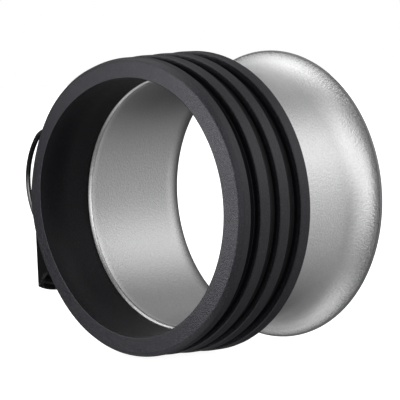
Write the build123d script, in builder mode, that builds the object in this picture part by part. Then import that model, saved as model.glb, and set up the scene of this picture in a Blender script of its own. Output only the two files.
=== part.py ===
from build123d import *
import math
import os

# Slip-on snoot: ribbed rubber collar, flared aluminium tube, draw latch. Millimetres.
# Origin at the centre of the collar's mouth, +Y along the light path towards the
# flared exit, +Z up, latch on the -X side. In names, "n" is the outward direction
# at the latch (n = -X), and angles in degrees run from n towards +Z.

os.makedirs("parts", exist_ok=True)

# Collar
head_r = 50.0            # bore that grips a 100 mm lamp head
mouth_len = 25.0         # free bore length ahead of the tube
rib_r = (58.1, 58.4, 58.8, 59.2)
rib_y = ((0.0, 6.6), (11.5, 17.0), (22.0, 27.4), (33.1, 38.5))
collar_len = rib_y[-1][1]
groove_r = (55.1, 55.3, 55.4)
face_edge = (57.0, 1.1)  # outer edge of the slightly coned mouth face (radius, y)
face_shoulder_y = 2.9    # where the mouth's shoulder reaches the first rib
face_round = 1.5
rib_round = 0.55
groove_round = 0.45
bore_round = 0.3
seat_round = 0.5
seat_gap = 0.05

# Recess in the middle groove, and the bridge tongue that lies in it
recess_deg = (0.0, 35.0)
recess_depth = 0.45
recess_w = 3.9
bridge_t = 0.40
bridge_w = 3.6
bridge_end_gap_deg = 0.6

# Tube
tube_r = 50.4
tube_t = 1.6
lip_r = 51.3
lip_len = 2.2
lip_bore_round = 1.15
lip_edge_round = 0.6
flare_start = 67.67
flare_r1 = 16.76         # first bend of the flare, mid-sheet radius
flare_end1 = math.radians(45.0)
flare_r2 = 6.0           # tighter bend out to the rim, mid-sheet radius
flare_end2 = math.radians(76.0)

# Clamp strap in the middle groove
band_y = 19.65
band_w = 4.1
band_y0 = band_y - band_w / 2
band_r0 = 55.35
band_t = 0.8
base_end_deg = 9.0       # the strap's two ends
catch_end_deg = 26.0

# Curved feet of the latch base and the catch, riveted onto the strap
foot_r0 = band_r0 + band_t + 0.05
foot_t = 1.0
base_foot_deg = (-21.5, 8.0)
catch_foot_deg = (29.4, 45.5)
base_rivet_deg = (-11.5, -17.5)
catch_rivet_deg = (35.6, 41.4)
rivet_r = 0.8
rivet_hole_r = rivet_r + 0.03
rivet_hole_depth = 3.0   # cut length, starting 1 mm below the drilled sheet
rivet_head_r = 1.5
rivet_head_h = 0.8
rivet_head_round = 0.6
rivet_head_r0 = foot_r0 + foot_t + 0.03   # underside of the rivet heads

# Lever pivot and the base's ears
pivot_n = 61.4
pivot_z = 0.0
pin_r = 1.25
ear_t = 0.9
ear_r = 2.7
ear_tangent_n = 0.55     # where the flanks meet the round eye, beyond the pivot
ear_foot_deg = (-7.6, 6.4)
ear_y = (band_y0, band_y + band_w / 2 - ear_t)

# Lever, a pressed channel
lever_y0 = 10.0
lever_y1 = 29.3
lever_t = 1.2
web_n = 66.3             # outer face of the lever's web
web_top_z = -4.5         # top edge of the web, below the pivot
tip_z = -32.7
tip_crown = 2.3
lever_bend = 0.95        # outer bend radius of the channel
lever_inner_bend = 0.35
flange_n = 50.0          # inward reach of the flanges before trimming
flange_mid = (58.25, -11.8)   # inner edge of the flanges (n, z)
flange_end = (56.9, -22.6)
nose_angle = 0.17        # radians, end of the flanges' round nose at the pivot

# Wire bail
trunnion_n = 61.0        # aims the start of the leg arc
trunnion_z = -8.0
wire_r = 1.0
wire_end_chamfer = 0.25
bail_arc_n = 39.0
bail_arc_z = 9.3
bail_arc_r = 28.0
bail_half = 11.25        # wire centre either side of the latch plane
wire_end_reach = 3.75    # from a leg's centre to the wire's end inside the lever
eye_bend = 1.55          # tight bend into the lever's holes
bail_bend = 3.0          # bend between leg and cross-bar
bar_deg = 47.4           # where the leg arc meets the cross-bar

# Rear strap and its buckle
rear_y = 30.15
rear_w = 3.9
rear_r0 = 55.45
rear_t = 0.6
rear_r1 = rear_r0 + rear_t
rear_half_gap_deg = 0.8
buckle_deg = -62.0
buckle_half_deg = 5.0
buckle_w = 4.2
buckle_y0 = rear_y - buckle_w / 2
ridge_offset_deg = 2.6
ridge_half_deg = 0.8


def polar(radius, deg):
    """Local point at a radius and an angle in degrees."""
    angle = math.radians(deg)
    return (radius * math.cos(angle), radius * math.sin(angle))


def side_plane(y):
    """Latch side plane: local x = n (outwards), local y = Z, normal = +Y."""
    return Plane(origin=(0, y, 0), x_dir=(-1, 0, 0), z_dir=(0, 1, 0))


def radial_plane(deg, radius, y):
    """Plane whose normal points outwards at that place, local x along +Y."""
    n, z = polar(radius, deg)
    out_n, out_z = polar(1.0, deg)
    return Plane(origin=(-n, y, z), x_dir=(0, 1, 0), z_dir=(-out_n, 0, out_z))


def arc_strip(r0, r1, start_deg, end_deg):
    """Closed outline of a ring sector, drawn into the open BuildLine."""
    mid_deg = 0.5 * (start_deg + end_deg)
    ThreePointArc(polar(r0, start_deg), polar(r0, mid_deg), polar(r0, end_deg))
    Line(polar(r0, end_deg), polar(r1, end_deg))
    ThreePointArc(polar(r1, end_deg), polar(r1, mid_deg), polar(r1, start_deg))
    Line(polar(r1, start_deg), polar(r0, start_deg))


def save(builder, name):
    """Label a piece and write its STEP file."""
    builder.part.label = name
    export_step(builder.part, f"parts/{name}.step")


# ---------------------------------------------------------------------------
# Flared tube: lip, straight neck, two-bend flare with a rounded rim
# ---------------------------------------------------------------------------
OUTER, MIDDLE, INNER = -1, 0, 1     # faces of the sheet
inner_r = tube_r - tube_t
mid_r = tube_r - tube_t / 2
tube_y0 = mouth_len + seat_gap
lip_y1 = tube_y0 + lip_len


def flare_pt(slope, side):
    """Flare point (radius, y) where the sheet has turned by slope radians."""
    slope1 = min(slope, flare_end1)
    radius = mid_r + flare_r1 * (1 - math.cos(slope1))
    y = flare_start + flare_r1 * math.sin(slope1)
    if slope > flare_end1:
        radius += flare_r2 * (math.cos(flare_end1) - math.cos(slope))
        y += flare_r2 * (math.sin(slope) - math.sin(flare_end1))
    offset = side * tube_t / 2
    return (radius - offset * math.cos(slope), y + offset * math.sin(slope))


rim_r, rim_y = flare_pt(flare_end2, MIDDLE)
rim_tip = (rim_r + tube_t / 2 * math.sin(flare_end2),
           rim_y + tube_t / 2 * math.cos(flare_end2))
flare_mid1 = flare_end1 / 2
flare_mid2 = 0.5 * (flare_end1 + flare_end2)

with BuildPart() as flared_tube:
    with BuildSketch(Plane.XY) as tube_sk:
        with BuildLine():
            Polyline((inner_r, flare_start), (inner_r, tube_y0), (lip_r, tube_y0),
                     (lip_r, lip_y1), (tube_r, lip_y1), (tube_r, flare_start))
            ThreePointArc((tube_r, flare_start), flare_pt(flare_mid1, OUTER),
                          flare_pt(flare_end1, OUTER))
            ThreePointArc(flare_pt(flare_end1, OUTER), flare_pt(flare_mid2, OUTER),
                          flare_pt(flare_end2, OUTER))
            ThreePointArc(flare_pt(flare_end2, OUTER), rim_tip, flare_pt(flare_end2, INNER))
            ThreePointArc(flare_pt(flare_end2, INNER), flare_pt(flare_mid2, INNER),
                          flare_pt(flare_end1, INNER))
            ThreePointArc(flare_pt(flare_end1, INNER), flare_pt(flare_mid1, INNER),
                          (inner_r, flare_start))
        make_face()
        # the lip end's inner corner, then its outer one
        fillet(tube_sk.vertices().group_by(Axis.Y)[0].sort_by(Axis.X)[0], lip_bore_round)
        fillet(tube_sk.vertices().group_by(Axis.Y)[0].sort_by(Axis.X)[-1], lip_edge_round)
    revolve(axis=Axis.Y)
save(flared_tube, "flared_tube")

# ---------------------------------------------------------------------------
# Rubber collar: bore, undercut for the tube's lip, seat on the tube, ribs
# ---------------------------------------------------------------------------
lip_pocket_end = mouth_len + lip_len + 2 * seat_gap
lip_pocket_r = lip_r + seat_gap
seat_r = tube_r + seat_gap

# outline (radius, y): mouth, ribs and grooves, then back along the bore
collar_pts = [(head_r, 0.0), face_edge, (rib_r[0], face_shoulder_y), (rib_r[0], rib_y[0][1])]
for i, radius in enumerate(groove_r):
    next_y0, next_y1 = rib_y[i + 1]
    collar_pts += [(radius, rib_y[i][1]), (radius, next_y0),
                   (rib_r[i + 1], next_y0), (rib_r[i + 1], next_y1)]
collar_pts += [(seat_r, collar_len), (seat_r, lip_pocket_end),
               (lip_pocket_r, lip_pocket_end), (lip_pocket_r, mouth_len),
               (head_r, mouth_len)]

with BuildPart() as rubber_collar:
    with BuildSketch(Plane.XY) as collar_sk:
        with BuildLine():
            Polyline(*collar_pts, close=True)
        make_face()
        fillet([v for v in collar_sk.vertices()
                if v.X > 58.0 and v.Y > face_shoulder_y + 0.5], rib_round)
        fillet([v for v in collar_sk.vertices() if 54.9 < v.X < 55.5], groove_round)
        fillet([v for v in collar_sk.vertices() if abs(v.Y - face_edge[1]) < 0.01], face_round)
        fillet([v for v in collar_sk.vertices() if abs(v.Y - face_shoulder_y) < 0.01],
               face_round)
        fillet([v for v in collar_sk.vertices()
                if abs(v.X - head_r) < 0.01 and v.Y < 0.5], bore_round)
        fillet([v for v in collar_sk.vertices()
                if abs(v.X - seat_r) < 0.01 and v.Y > 38.0], seat_round)
    revolve(axis=Axis.Y)
    # shallow recess in the middle groove for the bridge tongue
    with BuildSketch(side_plane(band_y - recess_w / 2)):
        with BuildLine():
            arc_strip(groove_r[1] - recess_depth, groove_r[1] + 0.6, *recess_deg)
        make_face()
    extrude(amount=recess_w, mode=Mode.SUBTRACT)
save(rubber_collar, "rubber_collar")

# ---------------------------------------------------------------------------
# Bridge tongue under the gap between the strap's ends
# ---------------------------------------------------------------------------
with BuildPart() as gap_bridge:
    with BuildSketch(side_plane(band_y - bridge_w / 2)):
        with BuildLine():
            arc_strip(groove_r[1] - bridge_t, groove_r[1],
                      recess_deg[0] + bridge_end_gap_deg, recess_deg[1] - bridge_end_gap_deg)
        make_face()
    extrude(amount=bridge_w)
save(gap_bridge, "gap_bridge")

# ---------------------------------------------------------------------------
# Clamp strap, open at the latch, with its rivet holes
# ---------------------------------------------------------------------------
with BuildPart() as clamp_band:
    with BuildSketch(side_plane(band_y0)):
        with BuildLine():
            arc_strip(band_r0, band_r0 + band_t, catch_end_deg, 360.0 + base_end_deg)
        make_face()
    extrude(amount=band_w)
    for deg in base_rivet_deg + catch_rivet_deg:
        with BuildSketch(radial_plane(deg, band_r0 - 1.0, band_y)):
            Circle(rivet_hole_r)
        extrude(amount=rivet_hole_depth, mode=Mode.SUBTRACT)
save(clamp_band, "clamp_band")

# ---------------------------------------------------------------------------
# Latch base: curved foot in the groove, two ears up to the lever pivot
# ---------------------------------------------------------------------------
ear_root_r = foot_r0 + 0.2      # the ears start inside the foot's thickness
ear_low, ear_high = (polar(ear_root_r, deg) for deg in ear_foot_deg)
ear_root_mid = polar(ear_root_r, sum(ear_foot_deg) / 2)
eye_n = pivot_n + ear_tangent_n
eye_half = math.sqrt(ear_r ** 2 - ear_tangent_n ** 2)

with BuildPart() as latch_base:
    with BuildSketch(side_plane(band_y0)):
        with BuildLine():
            arc_strip(foot_r0, foot_r0 + foot_t, *base_foot_deg)
        make_face()
    extrude(amount=band_w)
    for y in ear_y:
        with BuildSketch(side_plane(y)):
            with BuildLine():
                # straight flanks run into the round eye, the root follows the foot
                ThreePointArc(ear_low, ear_root_mid, ear_high)
                Line(ear_high, (eye_n, pivot_z + eye_half))
                ThreePointArc((eye_n, pivot_z + eye_half), (pivot_n + ear_r, pivot_z),
                              (eye_n, pivot_z - eye_half))
                Line((eye_n, pivot_z - eye_half), ear_low)
            make_face()
            with Locations((pivot_n, pivot_z)):
                Circle(pin_r + 0.02, mode=Mode.SUBTRACT)
        extrude(amount=ear_t)
    for deg in base_rivet_deg:
        with BuildSketch(radial_plane(deg, foot_r0 - 1.0, band_y)):
            Circle(rivet_hole_r)
        extrude(amount=rivet_hole_depth, mode=Mode.SUBTRACT)
save(latch_base, "latch_base")

# ---------------------------------------------------------------------------
# Rivets: shank through strap and foot, rounded head outside
# ---------------------------------------------------------------------------
for name, angles in (("base_rivets", base_rivet_deg), ("catch_rivets", catch_rivet_deg)):
    with BuildPart() as rivets:
        for deg in angles:
            with BuildSketch(radial_plane(deg, band_r0 + 0.05, band_y)):
                Circle(rivet_r)
            extrude(amount=rivet_head_r0 - band_r0 + 0.1)
            with BuildSketch(radial_plane(deg, rivet_head_r0, band_y)):
                Circle(rivet_head_r)
            extrude(amount=rivet_head_h)
        # outer rims of the heads
        fillet([e for e in rivets.edges().filter_by(GeomType.CIRCLE)
                if e.radius > rivet_head_r - 0.1
                and math.hypot(e.arc_center.X, e.arc_center.Z) > rivet_head_r0 + 0.5],
               rivet_head_round)
    save(rivets, name)


# ---------------------------------------------------------------------------
# Wire bail: legs on an arc outside the lever, cross-bar on the +Z side of the hook
# ---------------------------------------------------------------------------
def arc_pt(deg):
    """Point (n, z) on the leg arc."""
    n, z = polar(bail_arc_r, deg)
    return (bail_arc_n + n, bail_arc_z + z)


def arc_dir(deg, sense):
    """Unit tangent (n, z) of the leg arc; sense +1 is towards the cross-bar."""
    n, z = polar(sense, deg)
    return (-z, n)


def corner_at(leg_end, into_leg, radius):
    """Sharp corner (n, z) of the quarter bend at a leg's end."""
    return (leg_end[0] - radius * into_leg[0], leg_end[1] - radius * into_leg[1])


def wire_at(point, y):
    """World point of a side-plane point (n, z) at height y."""
    return (-point[0], y, point[1])


def bend_mid(corner, into_leg, y, y_dir, radius):
    """Middle of the quarter bend between a leg and the Y direction."""
    inset = radius * (1 - math.sqrt(0.5))
    return wire_at(corner_at(corner, into_leg, -inset), y + y_dir * inset)


trunnion_deg = math.degrees(math.atan2(trunnion_z - bail_arc_z, trunnion_n - bail_arc_n))
# each leg stops one bend radius short of the trunnion and of the cross-bar
leg_deg0 = trunnion_deg + math.degrees(eye_bend / bail_arc_r)
leg_deg1 = bar_deg - math.degrees(bail_bend / bail_arc_r)
leg0, leg_mid, leg1 = (arc_pt(d) for d in (leg_deg0, (leg_deg0 + leg_deg1) / 2, leg_deg1))
into_leg0 = arc_dir(leg_deg0, 1)
into_leg1 = arc_dir(leg_deg1, -1)
trunnion = corner_at(leg0, into_leg0, eye_bend)     # trunnion centre (n, z)
bar = corner_at(leg1, into_leg1, bail_bend)         # cross-bar centre (n, z)
bail_y0 = band_y - bail_half
bail_y1 = band_y + bail_half

with BuildPart() as wire_bail:
    with BuildLine() as bail_path:
        Line(wire_at(trunnion, bail_y0 + wire_end_reach), wire_at(trunnion, bail_y0 + eye_bend))
        ThreePointArc(wire_at(trunnion, bail_y0 + eye_bend),
                      bend_mid(trunnion, into_leg0, bail_y0, 1, eye_bend),
                      wire_at(leg0, bail_y0))
        ThreePointArc(wire_at(leg0, bail_y0), wire_at(leg_mid, bail_y0),
                      wire_at(leg1, bail_y0))
        ThreePointArc(wire_at(leg1, bail_y0),
                      bend_mid(bar, into_leg1, bail_y0, 1, bail_bend),
                      wire_at(bar, bail_y0 + bail_bend))
        Line(wire_at(bar, bail_y0 + bail_bend), wire_at(bar, bail_y1 - bail_bend))
        ThreePointArc(wire_at(bar, bail_y1 - bail_bend),
                      bend_mid(bar, into_leg1, bail_y1, -1, bail_bend),
                      wire_at(leg1, bail_y1))
        ThreePointArc(wire_at(leg1, bail_y1), wire_at(leg_mid, bail_y1),
                      wire_at(leg0, bail_y1))
        ThreePointArc(wire_at(leg0, bail_y1),
                      bend_mid(trunnion, into_leg0, bail_y1, -1, eye_bend),
                      wire_at(trunnion, bail_y1 - eye_bend))
        Line(wire_at(trunnion, bail_y1 - eye_bend), wire_at(trunnion, bail_y1 - wire_end_reach))
    with BuildSketch(Plane(origin=bail_path.line @ 0, z_dir=bail_path.line % 0)):
        Circle(wire_r)
    sweep()
    chamfer(wire_bail.faces().filter_by(Axis.Y).edges(), wire_end_chamfer)
save(wire_bail, "wire_bail")

# ---------------------------------------------------------------------------
# Catch: foot in the groove, stem, wide hook standing across the pull
# ---------------------------------------------------------------------------
hook_w = 15.0
hook_t = 1.3
hook_z1 = bar[1] - wire_r - 0.2      # face towards the bar
hook_z0 = hook_z1 - hook_t
hook_n0 = 52.4                       # clears the rib tops
hook_n1 = bar[0] + 2.4               # tip beyond the bar
lip_n = hook_n1 + 0.35
lip_z = hook_z1 + 0.35
stem_knee_z = hook_z1 + 1.1          # where the stem's slope eases
stem_end_z = hook_z1 + 2.7


def stem_root_n(z):
    """n of the stem's root, just inside the foot, at height z."""
    return math.sqrt((foot_r0 + 0.1) ** 2 - z * z)


with BuildPart() as catch_plate:
    with BuildSketch(side_plane(band_y0)):
        with BuildLine():
            arc_strip(foot_r0, foot_r0 + foot_t, *catch_foot_deg)
        make_face()
    extrude(amount=band_w)
    # stem rising out of the groove
    with BuildSketch(side_plane(band_y0)):
        with BuildLine():
            Polyline((stem_root_n(hook_z0), hook_z0), (hook_n0 + 1.5, hook_z0),
                     (hook_n0 + 1.5, hook_z1), (hook_n0 - 2.1, hook_z1),
                     (stem_root_n(stem_knee_z) + 0.7, stem_knee_z),
                     (stem_root_n(stem_end_z) + 0.5, stem_end_z),
                     (stem_root_n(stem_end_z), stem_end_z), close=True)
        make_face()
    extrude(amount=band_w)
    # wide hook, its tip raised into a small lip towards +Z
    with BuildSketch(side_plane(band_y - hook_w / 2)) as hook_sk:
        with BuildLine():
            Polyline((hook_n0, hook_z0), (hook_n1 - 0.5, hook_z0), (lip_n, hook_z0 + 0.75),
                     (lip_n, lip_z), (hook_n1 - 0.45, lip_z),
                     (hook_n1 - 0.9, hook_z1), (hook_n0, hook_z1), close=True)
        make_face()
        fillet([v for v in hook_sk.vertices() if v.X > hook_n0 + 1], 0.28)
    extrude(amount=hook_w)
    # outermost corners of the hook
    fillet(catch_plate.edges().filter_by(Axis.Z).group_by(Axis.X)[0], 0.5)
    for deg in catch_rivet_deg:
        with BuildSketch(radial_plane(deg, foot_r0 - 1.0, band_y)):
            Circle(rivet_hole_r)
        extrude(amount=rivet_hole_depth, mode=Mode.SUBTRACT)
save(catch_plate, "catch_plate")

# ---------------------------------------------------------------------------
# Lever: pressed channel with rounded corners, trimmed to its side profile,
# and a crowned tongue at the thumb end
# ---------------------------------------------------------------------------
lever_mid_y = 0.5 * (lever_y0 + lever_y1)
lever_w = lever_y1 - lever_y0
lever_cut_y = lever_y0 - 1.0         # cuts across the lever overrun it by 1 mm
lever_cut_w = lever_w + 2.0
web_inner_n = web_n - lever_t
nose = (pivot_n + ear_r * math.cos(nose_angle), pivot_z + ear_r * math.sin(nose_angle))
trim_n0 = web_inner_n - 0.2          # profile limits just clear of the web
trim_n1 = web_n + 0.5
trim_z = tip_z - tip_crown - 0.5
# crown cutter, in local (Y, -Z)
crown_y0 = lever_y0 - 0.6
crown_y1 = lever_y1 + 0.6
crown_side = -tip_z - 0.25
crown_far = -tip_z + 6

with BuildPart() as latch_lever:
    with BuildSketch(Plane.XY.offset(tip_z - 4.0)) as channel_sk:
        with BuildLine():
            Polyline((-flange_n, lever_y0), (-web_n, lever_y0),
                     (-web_n, lever_y1), (-flange_n, lever_y1),
                     (-flange_n, lever_y1 - lever_t), (-web_inner_n, lever_y1 - lever_t),
                     (-web_inner_n, lever_y0 + lever_t), (-flange_n, lever_y0 + lever_t),
                     close=True)
        make_face()
        fillet([v for v in channel_sk.vertices() if v.X < -web_n + 0.01], lever_bend)
        fillet([v for v in channel_sk.vertices() if abs(v.X + web_inner_n) < 0.01],
               lever_inner_bend)
    extrude(amount=-tip_z + 10.0)
    # side profile
    with BuildSketch(side_plane(lever_cut_y)):
        with BuildLine():
            ThreePointArc(nose, (pivot_n, pivot_z + ear_r), (pivot_n - ear_r, pivot_z))
            ThreePointArc((pivot_n - ear_r, pivot_z), flange_mid, flange_end)
            Polyline(flange_end, (trim_n0, tip_z + 0.9), (trim_n0, trim_z),
                     (trim_n1, trim_z), (trim_n1, nose[1]), nose)
        make_face()
    extrude(amount=lever_cut_w, mode=Mode.INTERSECT)
    # pivot and trunnion holes
    with BuildSketch(side_plane(lever_cut_y)):
        with Locations((pivot_n, pivot_z)):
            Circle(pin_r + 0.05)
        with Locations(trunnion):
            Circle(wire_r + 0.05)
    extrude(amount=lever_cut_w, mode=Mode.SUBTRACT)
    # the web stops short of the pivot
    with BuildSketch(Plane.XY.offset(web_top_z)):
        with Locations((-web_n, lever_mid_y)):
            Rectangle(2 * lever_t + 2.0, lever_w - 2 * lever_t)
    extrude(amount=8.0, mode=Mode.SUBTRACT)
    # crowned thumb end
    with BuildSketch(Plane(origin=(-web_n - 1.0, 0, 0), x_dir=(0, 1, 0), z_dir=(1, 0, 0))):
        with BuildLine():
            ThreePointArc((crown_y1, crown_side), (lever_mid_y, -tip_z + tip_crown),
                          (crown_y0, crown_side))
            Polyline((crown_y0, crown_side), (crown_y0, crown_far),
                     (crown_y1, crown_far), (crown_y1, crown_side))
        make_face()
    extrude(amount=4.0, mode=Mode.SUBTRACT)
save(latch_lever, "latch_lever")

# ---------------------------------------------------------------------------
# Pivot pin: coned head on the low-Y side, clip groove near the other end
# ---------------------------------------------------------------------------
clip_y = lever_y1 + 0.1
clip_t = 0.5
pin_head_r = 2.2
pin_head_y = lever_y0 - 0.1          # underside of the head
pin_end = clip_y + clip_t + 0.55
pin_groove_r = pin_r - 0.35
pin_groove_y0 = clip_y - 0.03
pin_groove_y1 = clip_y + clip_t + 0.03
pin_end_chamfer = 0.25
# half section (radius, y)
pin_pts = (
    (0, pin_head_y - 0.85), (1.5, pin_head_y - 0.85),
    (pin_head_r, pin_head_y - 0.45), (pin_head_r, pin_head_y),
    (pin_r, pin_head_y), (pin_r, pin_groove_y0),
    (pin_groove_r, pin_groove_y0), (pin_groove_r, pin_groove_y1),
    (pin_r, pin_groove_y1), (pin_r, pin_end - pin_end_chamfer),
    (pin_r - pin_end_chamfer, pin_end), (0, pin_end),
)

with BuildPart() as lever_pivot_pin:
    with BuildSketch(Plane(origin=(-pivot_n, 0, pivot_z), x_dir=(-1, 0, 0), z_dir=(0, 0, 1))):
        with BuildLine():
            # local y of this plane runs along -Y
            Polyline(*[(radius, -y) for radius, y in pin_pts], close=True)
        make_face()
    revolve(axis=Axis((-pivot_n, 0, pivot_z), (0, 1, 0)))
save(lever_pivot_pin, "lever_pivot_pin")

# ---------------------------------------------------------------------------
# Spacer tubes between the lever's flanges and the ears
# ---------------------------------------------------------------------------
spacer_r = 2.3
spacer_gap = 0.1
spacer_spans = (
    (lever_y0 + lever_t + spacer_gap, ear_y[0] - spacer_gap),
    (ear_y[1] + ear_t + spacer_gap, lever_y1 - lever_t - spacer_gap),
)

with BuildPart() as pivot_spacers:
    for y_low, y_high in spacer_spans:
        with BuildSketch(side_plane(y_low)):
            with Locations((pivot_n, pivot_z)):
                Circle(spacer_r)
                Circle(pin_r + 0.03, mode=Mode.SUBTRACT)
        extrude(amount=y_high - y_low)
    chamfer(pivot_spacers.edges().filter_by(
        lambda e: e.geom_type == GeomType.CIRCLE and e.radius > 2.0), 0.2)
save(pivot_spacers, "pivot_spacers")

# ---------------------------------------------------------------------------
# Retaining clip: open ring with three prongs
# ---------------------------------------------------------------------------
clip_r = 2.35
prong_len = 0.9
prong_w = 0.8
prong_mid_r = pin_r - 0.30 + prong_len / 2

with BuildPart() as pivot_clip:
    with BuildSketch(side_plane(clip_y)):
        with Locations((pivot_n, pivot_z)):
            Circle(clip_r)
            Circle(pin_r + 0.35, mode=Mode.SUBTRACT)
        # three inward prongs that sit in the pin's groove
        for deg in (30.0, 150.0, 270.0):
            prong_n, prong_z = polar(prong_mid_r, deg)
            with Locations((pivot_n + prong_n, pivot_z + prong_z)):
                Rectangle(prong_len, prong_w, rotation=deg)
        # open side, towards +Z
        with Locations((pivot_n, pivot_z + 1.9)):
            Rectangle(1.5, 1.9, mode=Mode.SUBTRACT)
    extrude(amount=clip_t)
save(pivot_clip, "pivot_clip")

# ---------------------------------------------------------------------------
# Rear strap that holds the collar on the tube
# ---------------------------------------------------------------------------
with BuildPart() as retaining_band:
    with BuildSketch(side_plane(rear_y - rear_w / 2)):
        with BuildLine():
            arc_strip(rear_r0, rear_r1, buckle_deg + rear_half_gap_deg,
                      buckle_deg + 360.0 - rear_half_gap_deg)
        make_face()
    extrude(amount=rear_w)
save(retaining_band, "retaining_band")

# ---------------------------------------------------------------------------
# Crimped buckle over the rear strap's gap
# ---------------------------------------------------------------------------
with BuildPart() as band_buckle:
    with BuildSketch(side_plane(buckle_y0)):
        with BuildLine():
            arc_strip(rear_r1 + 0.03, rear_r1 + 1.0,
                      buckle_deg - buckle_half_deg, buckle_deg + buckle_half_deg)
        make_face()
    extrude(amount=buckle_w)
    # two crimp ridges across the buckle
    for ridge_deg in (buckle_deg - ridge_offset_deg, buckle_deg + ridge_offset_deg):
        with BuildSketch(side_plane(buckle_y0)):
            with BuildLine():
                arc_strip(rear_r1 + 0.9, rear_r1 + 1.55,
                          ridge_deg - ridge_half_deg, ridge_deg + ridge_half_deg)
            make_face()
        extrude(amount=buckle_w)
    # top edges of the ridges
    fillet([e for e in band_buckle.edges().filter_by(Axis.Y)
            if math.hypot(e.center().X, e.center().Z) > rear_r1 + 1.4], 0.25)
save(band_buckle, "band_buckle")
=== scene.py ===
# A flared aluminium tube in a ribbed rubber collar, with two steel straps and a lever latch.
# The tube's axis is Y: the collar's mouth is at y = 0 and the flare is at the +Y end. The latch
# is on the -X side and Z is up. Shapes are worked out in millimetres; new_mesh turns them into
# metres. Around the latch a point is (n, z), where n = -x is its distance out from the axis.
import bpy
import bmesh
import math
from mathutils import Matrix, Vector, geometry


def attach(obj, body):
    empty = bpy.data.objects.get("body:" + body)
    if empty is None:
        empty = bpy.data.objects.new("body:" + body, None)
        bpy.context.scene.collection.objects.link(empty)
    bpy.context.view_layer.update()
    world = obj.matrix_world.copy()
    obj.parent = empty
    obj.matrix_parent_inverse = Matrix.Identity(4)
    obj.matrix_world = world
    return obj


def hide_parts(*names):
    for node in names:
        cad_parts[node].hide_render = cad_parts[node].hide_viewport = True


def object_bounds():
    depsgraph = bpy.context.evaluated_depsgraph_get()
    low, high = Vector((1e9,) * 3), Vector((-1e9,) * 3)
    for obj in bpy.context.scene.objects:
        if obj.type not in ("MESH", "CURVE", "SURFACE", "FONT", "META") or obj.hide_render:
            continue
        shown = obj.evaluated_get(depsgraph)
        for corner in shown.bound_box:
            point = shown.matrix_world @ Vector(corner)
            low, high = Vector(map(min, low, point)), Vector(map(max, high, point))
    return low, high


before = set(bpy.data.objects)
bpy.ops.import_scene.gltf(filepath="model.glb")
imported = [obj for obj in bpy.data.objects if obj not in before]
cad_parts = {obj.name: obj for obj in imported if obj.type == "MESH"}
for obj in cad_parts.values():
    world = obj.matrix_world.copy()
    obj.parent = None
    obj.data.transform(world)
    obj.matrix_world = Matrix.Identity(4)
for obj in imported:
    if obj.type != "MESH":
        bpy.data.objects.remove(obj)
cad_lo, cad_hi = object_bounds()
scene = bpy.context.scene
MM = 0.001

# ---------------------------------------------------------------------------
# sizes shared between pieces, in millimetres
# ---------------------------------------------------------------------------
BORE_R, MOUTH_LEN, COLLAR_LEN = 50.0, 25.0, 38.5
TUBE_R, TUBE_T = 50.4, 1.6
LIP_R, LIP_LEN = 51.3, 2.2                 # thickened lip at the tube's mouth end
FIT = 0.05                                 # gap between the tube and its pocket in the rubber
BAND_Y, BAND_W, BAND_R0, BAND_T = 19.65, 4.1, 55.35, 0.8
PIVOT_N, PIVOT_Z = 61.4, 0.0               # lever pivot


# ---------------------------------------------------------------------------
# mesh helpers: a shape is a pair (verts, faces)
# ---------------------------------------------------------------------------
def smooth_shade(mesh, sharp):
    """Smooth faces, with edges kept sharp above an angle in degrees."""
    for p in mesh.polygons:
        p.use_smooth = True
    mesh.set_sharp_from_angle(angle=math.radians(sharp))


def new_mesh(name, shape, finish, cad_node, body="root", sharp=38.0):
    """Makes an object from a shape; finish is (material, slot name)."""
    verts, faces = shape
    material, slot = finish
    mesh = bpy.data.meshes.new(name)
    mesh.from_pydata([tuple(c * MM for c in v) for v in verts], [], faces)
    bm = bmesh.new()
    bm.from_mesh(mesh)
    bmesh.ops.remove_doubles(bm, verts=bm.verts, dist=1e-7)
    bmesh.ops.recalc_face_normals(bm, faces=bm.faces)
    bm.to_mesh(mesh)
    bm.free()
    smooth_shade(mesh, sharp)
    ob = bpy.data.objects.new(name, mesh)
    scene.collection.objects.link(ob)
    ob.data.materials.append(material)
    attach(ob, body)
    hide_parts(cad_node)
    return ob


def join(shapes):
    verts, faces = [], []
    for part_verts, part_faces in shapes:
        base = len(verts)
        verts += part_verts
        faces += [tuple(base + i for i in face) for face in part_faces]
    return verts, faces


def bridge(a, b, count, closed=True):
    """Quads between two rows of count vertices that start at a and b."""
    return [(a + k, b + k, b + (k + 1) % count, a + (k + 1) % count)
            for k in range(count if closed else count - 1)]


def arc(centre, radius, start, end, steps):
    """Points on an arc, both ends included; angles in radians."""
    points = []
    for k in range(steps + 1):
        t = start + (end - start) * k / steps
        points.append((centre[0] + radius * math.cos(t), centre[1] + radius * math.sin(t)))
    return points


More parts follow.
